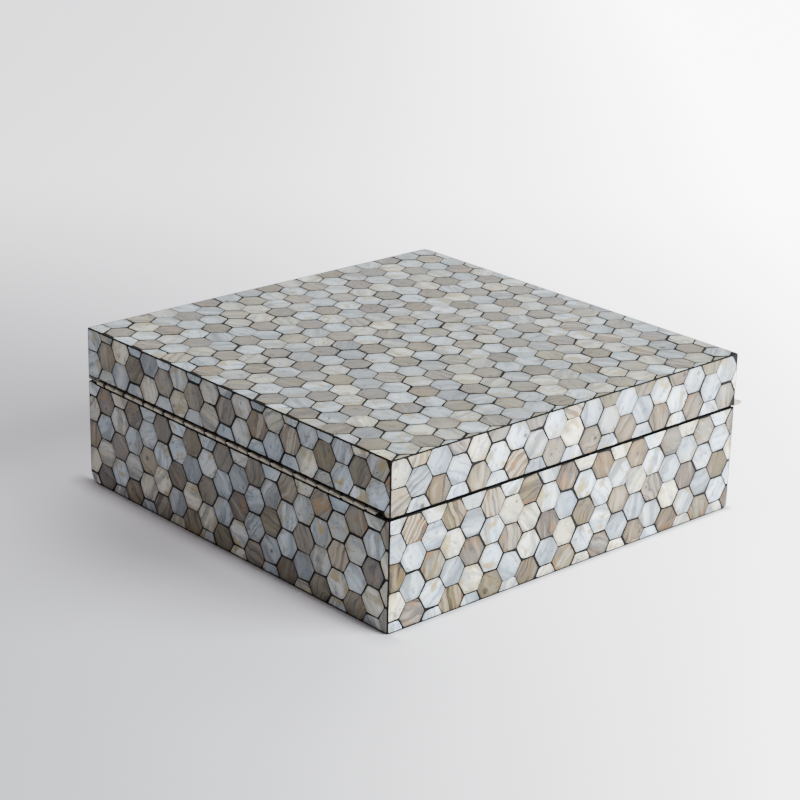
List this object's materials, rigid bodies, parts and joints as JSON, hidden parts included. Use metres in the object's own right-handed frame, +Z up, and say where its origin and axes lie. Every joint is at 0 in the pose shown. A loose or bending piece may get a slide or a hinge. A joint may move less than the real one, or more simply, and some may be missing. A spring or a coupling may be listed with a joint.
{
  "type": "hinged box",
  "caption": "Square hinged keepsake box clad in a mosaic of hexagonal shell tiles, with a flush lid on a continuous hinge.",
  "frame": {"origin": "centre of the underside", "axes": "+Z up, +X to the right seen from the front, -Y the front where the lid opens, +Y the hinged back"},
  "size_m": [0.35, 0.3604, 0.1265],
  "materials": {
    "shell_mosaic": "polished shell tiles, pearly grey, white and tan, set flush in black resin",
    "black_lacquer": "satin black lacquer over board",
    "hinge_metal": "warm grey satin metal, lightly tarnished",
    "bone": "polished cream bone"
  },
  "bodies": {
    "base": {"base_floor": "black_lacquer", "base_wall_left": "black_lacquer", "base_wall_right": "black_lacquer", "base_wall_front": "black_lacquer", "base_wall_back": "black_lacquer", "base_mosaic_left": "shell_mosaic", "base_mosaic_right": "shell_mosaic", "base_mosaic_front": "shell_mosaic", "base_mosaic_back": "shell_mosaic", "hinge_leaf_base": "hinge_metal", "hinge_pin": "hinge_metal", "base_screw_1": "hinge_metal", "base_screw_2": "hinge_metal", "base_screw_3": "hinge_metal", "base_screw_4": "hinge_metal", "base_screw_5": "hinge_metal"},
    "lid": {"lid_top": "black_lacquer", "lid_wall_left": "black_lacquer", "lid_wall_right": "black_lacquer", "lid_wall_front": "black_lacquer", "lid_wall_back": "black_lacquer", "lid_mosaic_left": "shell_mosaic", "lid_mosaic_right": "shell_mosaic", "lid_mosaic_front": "shell_mosaic", "lid_mosaic_back": "shell_mosaic", "lid_mosaic_top": "shell_mosaic", "hinge_leaf_lid": "hinge_metal", "lid_screw_1": "hinge_metal", "lid_screw_2": "hinge_metal", "lid_screw_3": "hinge_metal", "lid_screw_4": "hinge_metal", "lid_screw_5": "hinge_metal", "lift_tab": "bone"}
  },
  "joints": [
    {"name": "lid_hinge", "type": "hinge", "parent": "base", "child": "lid", "pos_m": [0.0014, 0.17383, 0.0847], "axis": [-1, 0, 0], "range_deg": [0, 98]}
  ]
}
